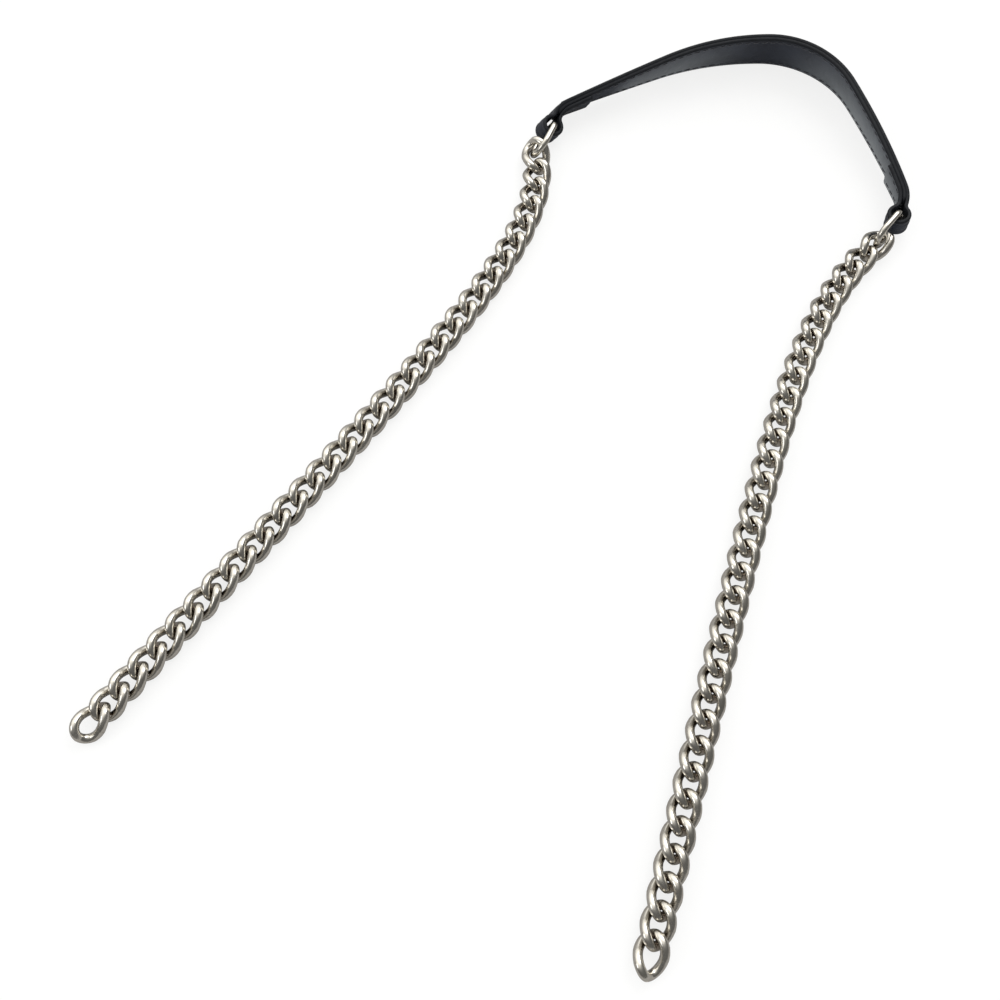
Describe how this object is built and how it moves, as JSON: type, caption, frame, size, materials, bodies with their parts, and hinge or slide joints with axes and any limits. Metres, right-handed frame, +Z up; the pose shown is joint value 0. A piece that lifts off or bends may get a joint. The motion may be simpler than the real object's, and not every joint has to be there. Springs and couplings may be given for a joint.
{
  "type": "chain shoulder strap",
  "caption": "Bag shoulder strap laid out in a loop: a tapered black leather shoulder band held by a metal ring at each end, with a run of twisted curb chain from each ring.",
  "frame": {"origin": "on the plane that the strap lies on, straight below the middle of the leather band", "axes": "+Z up from that plane, +X to the right along the middle of the band, +Y from the ends of the chain towards the band"},
  "size_m": [0.3053, 0.3606, 0.0221],
  "materials": {
    "band_leather": "smooth black leather with a blue cast, satin sheen",
    "lining_leather": "smooth black lining leather, satin sheen",
    "thread": "waxed black thread",
    "ring_metal": "polished nickel plate",
    "chain_metal": "polished nickel plate, slightly warm"
  },
  "bodies": {
    "band": {"band_outer": "band_leather", "band_lining": "lining_leather", "stitching": "thread"},
    "band_ring_left": {"band_ring_left": "ring_metal"},
    "band_ring_right": {"band_ring_right": "ring_metal"},
    "links_left_01": {"links_left_01": "chain_metal"},
    "links_left_02": {"links_left_02": "chain_metal"},
    "links_left_03": {"links_left_03": "chain_metal"},
    "links_left_04": {"links_left_04": "chain_metal"},
    "links_left_05": {"links_left_05": "chain_metal"},
    "links_left_06": {"links_left_06": "chain_metal"},
    "links_left_07": {"links_left_07": "chain_metal"},
    "links_left_08": {"links_left_08": "chain_metal"},
    "links_left_09": {"links_left_09": "chain_metal"},
    "links_left_10": {"links_left_10": "chain_metal"},
    "links_left_11": {"links_left_11": "chain_metal"},
    "links_left_12": {"links_left_12": "chain_metal"},
    "links_left_13": {"links_left_13": "chain_metal"},
    "links_left_14": {"links_left_14": "chain_metal"},
    "links_left_15": {"links_left_15": "chain_metal"},
    "links_left_16": {"links_left_16": "chain_metal"},
    "links_left_17": {"links_left_17": "chain_metal"},
    "links_left_18": {"links_left_18": "chain_metal"},
    "links_left_19": {"links_left_19": "chain_metal"},
    "links_left_20": {"links_left_20": "chain_metal"},
    "links_left_21": {"links_left_21": "chain_metal"},
    "links_left_22": {"links_left_22": "chain_metal"},
    "links_left_23": {"links_left_23": "chain_metal"},
    "links_left_24": {"links_left_24": "chain_metal"},
    "links_left_25": {"links_left_25": "chain_metal"},
    "links_left_26": {"links_left_26": "chain_metal"},
    "links_left_27": {"links_left_27": "chain_metal"},
    "links_right_01": {"links_right_01": "chain_metal"},
    "links_right_02": {"links_right_02": "chain_metal"},
    "links_right_03": {"links_right_03": "chain_metal"},
    "links_right_04": {"links_right_04": "chain_metal"},
    "links_right_05": {"links_right_05": "chain_metal"},
    "links_right_06": {"links_right_06": "chain_metal"},
    "links_right_07": {"links_right_07": "chain_metal"},
    "links_right_08": {"links_right_08": "chain_metal"},
    "links_right_09": {"links_right_09": "chain_metal"},
    "links_right_10": {"links_right_10": "chain_metal"},
    "links_right_11": {"links_right_11": "chain_metal"},
    "links_right_12": {"links_right_12": "chain_metal"},
    "links_right_13": {"links_right_13": "chain_metal"},
    "links_right_14": {"links_right_14": "chain_metal"},
    "links_right_15": {"links_right_15": "chain_metal"},
    "links_right_16": {"links_right_16": "chain_metal"},
    "links_right_17": {"links_right_17": "chain_metal"},
    "links_right_18": {"links_right_18": "chain_metal"},
    "links_right_19": {"links_right_19": "chain_metal"},
    "links_right_20": {"links_right_20": "chain_metal"},
    "links_right_21": {"links_right_21": "chain_metal"},
    "links_right_22": {"links_right_22": "chain_metal"},
    "links_right_23": {"links_right_23": "chain_metal"},
    "links_right_24": {"links_right_24": "chain_metal"},
    "links_right_25": {"links_right_25": "chain_metal"},
    "links_right_26": {"links_right_26": "chain_metal"},
    "links_right_27": {"links_right_27": "chain_metal"}
  },
  "joints": [
    {"name": "hinge_ring_left", "type": "hinge", "parent": "band", "child": "band_ring_left", "pos_m": [-0.08936, -0.03581, 0.00594], "axis": [0.4371, -0.1713, 0.8829], "range_deg": [-25, 25]},
    {"name": "hinge_left_01", "type": "hinge", "parent": "band_ring_left", "child": "links_left_01", "pos_m": [-0.09494, -0.04832, 0.00627], "axis": [0.4371, -0.1713, 0.8829], "range_deg": [-0.5, 25]},
    {"name": "hinge_left_02", "type": "hinge", "parent": "links_left_01", "child": "links_left_02", "pos_m": [-0.09435, -0.05275, 0.00382], "axis": [0, 0, 1], "range_deg": [-0.7, 23.3]},
    {"name": "hinge_left_03", "type": "hinge", "parent": "links_left_02", "child": "links_left_03", "pos_m": [-0.09492, -0.06168, 0.00382], "axis": [-0.9772, 0.2124, 0], "range_deg": [-12, 12]},
    {"name": "hinge_left_04", "type": "hinge", "parent": "links_left_03", "child": "links_left_04", "pos_m": [-0.09682, -0.07043, 0.00382], "axis": [0, 0, -1], "range_deg": [-18.5, 5.5]},
    {"name": "hinge_left_05", "type": "hinge", "parent": "links_left_04", "child": "links_left_05", "pos_m": [-0.0997, -0.07891, 0.00382], "axis": [0.9159, -0.4013, 0], "range_deg": [-12, 12]},
    {"name": "hinge_left_06", "type": "hinge", "parent": "links_left_05", "child": "links_left_06", "pos_m": [-0.10329, -0.0871, 0.00382], "axis": [0, 0, 1], "range_deg": [-8.3, 15.7]},
    {"name": "hinge_left_07", "type": "hinge", "parent": "links_left_06", "child": "links_left_07", "pos_m": [-0.10741, -0.09505, 0.00382], "axis": [-0.8643, 0.503, 0], "range_deg": [-12, 12]},
    {"name": "hinge_left_08", "type": "hinge", "parent": "links_left_07", "child": "links_left_08", "pos_m": [-0.11191, -0.10279, 0.00382], "axis": [0, 0, -1], "range_deg": [-14.1, 9.9]},
    {"name": "hinge_left_09", "type": "hinge", "parent": "links_left_08", "child": "links_left_09", "pos_m": [-0.1167, -0.11035, 0.00382], "axis": [0.8295, -0.5585, 0], "range_deg": [-12, 12]},
    {"name": "hinge_left_10", "type": "hinge", "parent": "links_left_09", "child": "links_left_10", "pos_m": [-0.1217, -0.11777, 0.00382], "axis": [0, 0, 1], "range_deg": [-10.8, 13.2]},
    {"name": "hinge_left_11", "type": "hinge", "parent": "links_left_10", "child": "links_left_11", "pos_m": [-0.12685, -0.12509, 0.00382], "axis": [-0.808, 0.5892, 0], "range_deg": [-12, 12]},
    {"name": "hinge_left_12", "type": "hinge", "parent": "links_left_11", "child": "links_left_12", "pos_m": [-0.13213, -0.13232, 0.00382], "axis": [0, 0, -1], "range_deg": [-12.7, 11.3]},
    {"name": "hinge_left_13", "type": "hinge", "parent": "links_left_12", "child": "links_left_13", "pos_m": [-0.13749, -0.13948, 0.00382], "axis": [0.7951, -0.6065, 0], "range_deg": [-12, 12]},
    {"name": "hinge_left_14", "type": "hinge", "parent": "links_left_13", "child": "links_left_14", "pos_m": [-0.14292, -0.1466, 0.00382], "axis": [0, 0, 1], "range_deg": [-11.6, 12.4]},
    {"name": "hinge_left_15", "type": "hinge", "parent": "links_left_14", "child": "links_left_15", "pos_m": [-0.14839, -0.15368, 0.00382], "axis": [-0.7875, 0.6163, 0], "range_deg": [-12, 12]},
    {"name": "hinge_left_16", "type": "hinge", "parent": "links_left_15", "child": "links_left_16", "pos_m": [-0.15391, -0.16073, 0.00382], "axis": [0, 0, -1], "range_deg": [-12.2, 11.8]},
    {"name": "hinge_left_17", "type": "hinge", "parent": "links_left_16", "child": "links_left_17", "pos_m": [-0.15945, -0.16775, 0.00382], "axis": [0.7831, -0.6219, 0], "range_deg": [-12, 12]},
    {"name": "hinge_left_18", "type": "hinge", "parent": "links_left_17", "child": "links_left_18", "pos_m": [-0.16502, -0.17476, 0.00382], "axis": [0, 0, 1], "range_deg": [-11.9, 12.1]},
    {"name": "hinge_left_19", "type": "hinge", "parent": "links_left_18", "child": "links_left_19", "pos_m": [-0.1706, -0.18176, 0.00382], "axis": [-0.7806, 0.6251, 0], "range_deg": [-12, 12]},
    {"name": "hinge_left_20", "type": "hinge", "parent": "links_left_19", "child": "links_left_20", "pos_m": [-0.1762, -0.18874, 0.00382], "axis": [0, 0, -1], "range_deg": [-12.1, 11.9]},
    {"name": "hinge_left_21", "type": "hinge", "parent": "links_left_20", "child": "links_left_21", "pos_m": [-0.1818, -0.19572, 0.00382], "axis": [0.7791, -0.6269, 0], "range_deg": [-12, 12]},
    {"name": "hinge_left_22", "type": "hinge", "parent": "links_left_21", "child": "links_left_22", "pos_m": [-0.18741, -0.2027, 0.00382], "axis": [0, 0, 1], "range_deg": [-12, 12]},
    {"name": "hinge_left_23", "type": "hinge", "parent": "links_left_22", "child": "links_left_23", "pos_m": [-0.19303, -0.20966, 0.00382], "axis": [-0.7783, 0.6279, 0], "range_deg": [-12, 12]},
    {"name": "hinge_left_24", "type": "hinge", "parent": "links_left_23", "child": "links_left_24", "pos_m": [-0.20427, -0.22359, 0.00382], "axis": [0, 0, -1], "range_deg": [-12, 12]},
    {"name": "hinge_left_25", "type": "hinge", "parent": "links_left_24", "child": "links_left_25", "pos_m": [-0.21552, -0.23751, 0.00382], "axis": [0.7775, -0.6289, 0], "range_deg": [-12, 12]},
    {"name": "hinge_left_26", "type": "hinge", "parent": "links_left_25", "child": "links_left_26", "pos_m": [-0.22678, -0.25143, 0.00382], "axis": [0, 0, 1], "range_deg": [-12, 12]},
    {"name": "hinge_left_27", "type": "hinge", "parent": "links_left_26", "child": "links_left_27", "pos_m": [-0.23804, -0.26534, 0.00382], "axis": [-0.7773, 0.6292, 0], "range_deg": [-12, 12]},
    {"name": "hinge_ring_right", "type": "hinge", "parent": "band", "child": "band_ring_right", "pos_m": [0.0469, -0.07999, 0.00704], "axis": [-0.0971, 0.0388, 0.9945], "range_deg": [-25, 25]},
    {"name": "hinge_right_01", "type": "hinge", "parent": "band_ring_right", "child": "links_right_01", "pos_m": [0.03779, -0.09022, 0.00655], "axis": [-0.0971, 0.0388, 0.9945], "range_deg": [-1.5, 25]},
    {"name": "hinge_right_02", "type": "hinge", "parent": "links_right_01", "child": "links_right_02", "pos_m": [0.03435, -0.09312, 0.00382], "axis": [0, 0, 1], "range_deg": [-8.5, 4]},
    {"name": "hinge_right_03", "type": "hinge", "parent": "links_right_02", "child": "links_right_03", "pos_m": [0.02817, -0.09968, 0.00382], "axis": [-0.789, 0.6144, 0], "range_deg": [-12, 12]},
    {"name": "hinge_right_04", "type": "hinge", "parent": "links_right_03", "child": "links_right_04", "pos_m": [0.02264, -0.10679, 0.00382], "axis": [0, 0, -1], "range_deg": [-7.7, 16.3]},
    {"name": "hinge_right_05", "type": "hinge", "parent": "links_right_04", "child": "links_right_05", "pos_m": [0.01765, -0.11429, 0.00382], "axis": [0.8643, -0.5029, 0], "range_deg": [-12, 12]},
    {"name": "hinge_right_06", "type": "hinge", "parent": "links_right_05", "child": "links_right_06", "pos_m": [0.01312, -0.12208, 0.00382], "axis": [0, 0, 1], "range_deg": [-14.8, 9.2]},
    {"name": "hinge_right_07", "type": "hinge", "parent": "links_right_06", "child": "links_right_07", "pos_m": [0.00896, -0.13008, 0.00382], "axis": [-0.9046, 0.4263, 0], "range_deg": [-12, 12]},
    {"name": "hinge_right_08", "type": "hinge", "parent": "links_right_07", "child": "links_right_08", "pos_m": [0.00512, -0.13823, 0.00382], "axis": [0, 0, -1], "range_deg": [-10.2, 13.8]},
    {"name": "hinge_right_09", "type": "hinge", "parent": "links_right_08", "child": "links_right_09", "pos_m": [0.00153, -0.14649, 0.00382], "axis": [0.9269, -0.3754, 0], "range_deg": [-12, 12]},
    {"name": "hinge_right_10", "type": "hinge", "parent": "links_right_09", "child": "links_right_10", "pos_m": [-0.00185, -0.15484, 0.00382], "axis": [0, 0, 1], "range_deg": [-13.1, 10.9]},
    {"name": "hinge_right_11", "type": "hinge", "parent": "links_right_10", "child": "links_right_11", "pos_m": [-0.00506, -0.16326, 0.00382], "axis": [-0.9397, 0.3419, 0], "range_deg": [-12, 12]},
    {"name": "hinge_right_12", "type": "hinge", "parent": "links_right_11", "child": "links_right_12", "pos_m": [-0.00814, -0.17173, 0.00382], "axis": [0, 0, -1], "range_deg": [-11.3, 12.7]},
    {"name": "hinge_right_13", "type": "hinge", "parent": "links_right_12", "child": "links_right_13", "pos_m": [-0.01112, -0.18023, 0.00382], "axis": [0.9473, -0.3202, 0], "range_deg": [-12, 12]},
    {"name": "hinge_right_14", "type": "hinge", "parent": "links_right_13", "child": "links_right_14", "pos_m": [-0.014, -0.18877, 0.00382], "axis": [0, 0, 1], "range_deg": [-12.5, 11.5]},
    {"name": "hinge_right_15", "type": "hinge", "parent": "links_right_14", "child": "links_right_15", "pos_m": [-0.01682, -0.19733, 0.00382], "axis": [-0.952, 0.3062, 0], "range_deg": [-12, 12]},
    {"name": "hinge_right_16", "type": "hinge", "parent": "links_right_15", "child": "links_right_16", "pos_m": [-0.01957, -0.2059, 0.00382], "axis": [0, 0, -1], "range_deg": [-11.7, 12.3]},
    {"name": "hinge_right_17", "type": "hinge", "parent": "links_right_16", "child": "links_right_17", "pos_m": [-0.02229, -0.2145, 0.00382], "axis": [0.9549, -0.2971, 0], "range_deg": [-12, 12]},
    {"name": "hinge_right_18", "type": "hinge", "parent": "links_right_17", "child": "links_right_18", "pos_m": [-0.02497, -0.2231, 0.00382], "axis": [0, 0, 1], "range_deg": [-12.2, 11.8]},
    {"name": "hinge_right_19", "type": "hinge", "parent": "links_right_18", "child": "links_right_19", "pos_m": [-0.02761, -0.23171, 0.00382], "axis": [-0.9567, 0.2912, 0], "range_deg": [-12, 12]},
    {"name": "hinge_right_20", "type": "hinge", "parent": "links_right_19", "child": "links_right_20", "pos_m": [-0.03024, -0.24033, 0.00382], "axis": [0, 0, -1], "range_deg": [-11.9, 12.1]},
    {"name": "hinge_right_21", "type": "hinge", "parent": "links_right_20", "child": "links_right_21", "pos_m": [-0.03284, -0.24896, 0.00382], "axis": [0.9578, -0.2875, 0], "range_deg": [-12, 12]},
    {"name": "hinge_right_22", "type": "hinge", "parent": "links_right_21", "child": "links_right_22", "pos_m": [-0.03543, -0.25759, 0.00382], "axis": [0, 0, 1], "range_deg": [-12.1, 11.9]},
    {"name": "hinge_right_23", "type": "hinge", "parent": "links_right_22", "child": "links_right_23", "pos_m": [-0.03801, -0.26622, 0.00382], "axis": [-0.9585, 0.285, 0], "range_deg": [-12, 12]},
    {"name": "hinge_right_24", "type": "hinge", "parent": "links_right_23", "child": "links_right_24", "pos_m": [-0.04314, -0.28349, 0.00382], "axis": [0, 0, -1], "range_deg": [-12, 12]},
    {"name": "hinge_right_25", "type": "hinge", "parent": "links_right_24", "child": "links_right_25", "pos_m": [-0.04824, -0.30078, 0.00382], "axis": [0.9593, -0.2825, 0], "range_deg": [-12, 12]},
    {"name": "hinge_right_26", "type": "hinge", "parent": "links_right_25", "child": "links_right_26", "pos_m": [-0.05333, -0.31806, 0.00382], "axis": [0, 0, 1], "range_deg": [-12, 12]},
    {"name": "hinge_right_27", "type": "hinge", "parent": "links_right_26", "child": "links_right_27", "pos_m": [-0.0584, -0.33535, 0.00382], "axis": [-0.9596, 0.2814, 0], "range_deg": [-12, 12]}
  ]
}
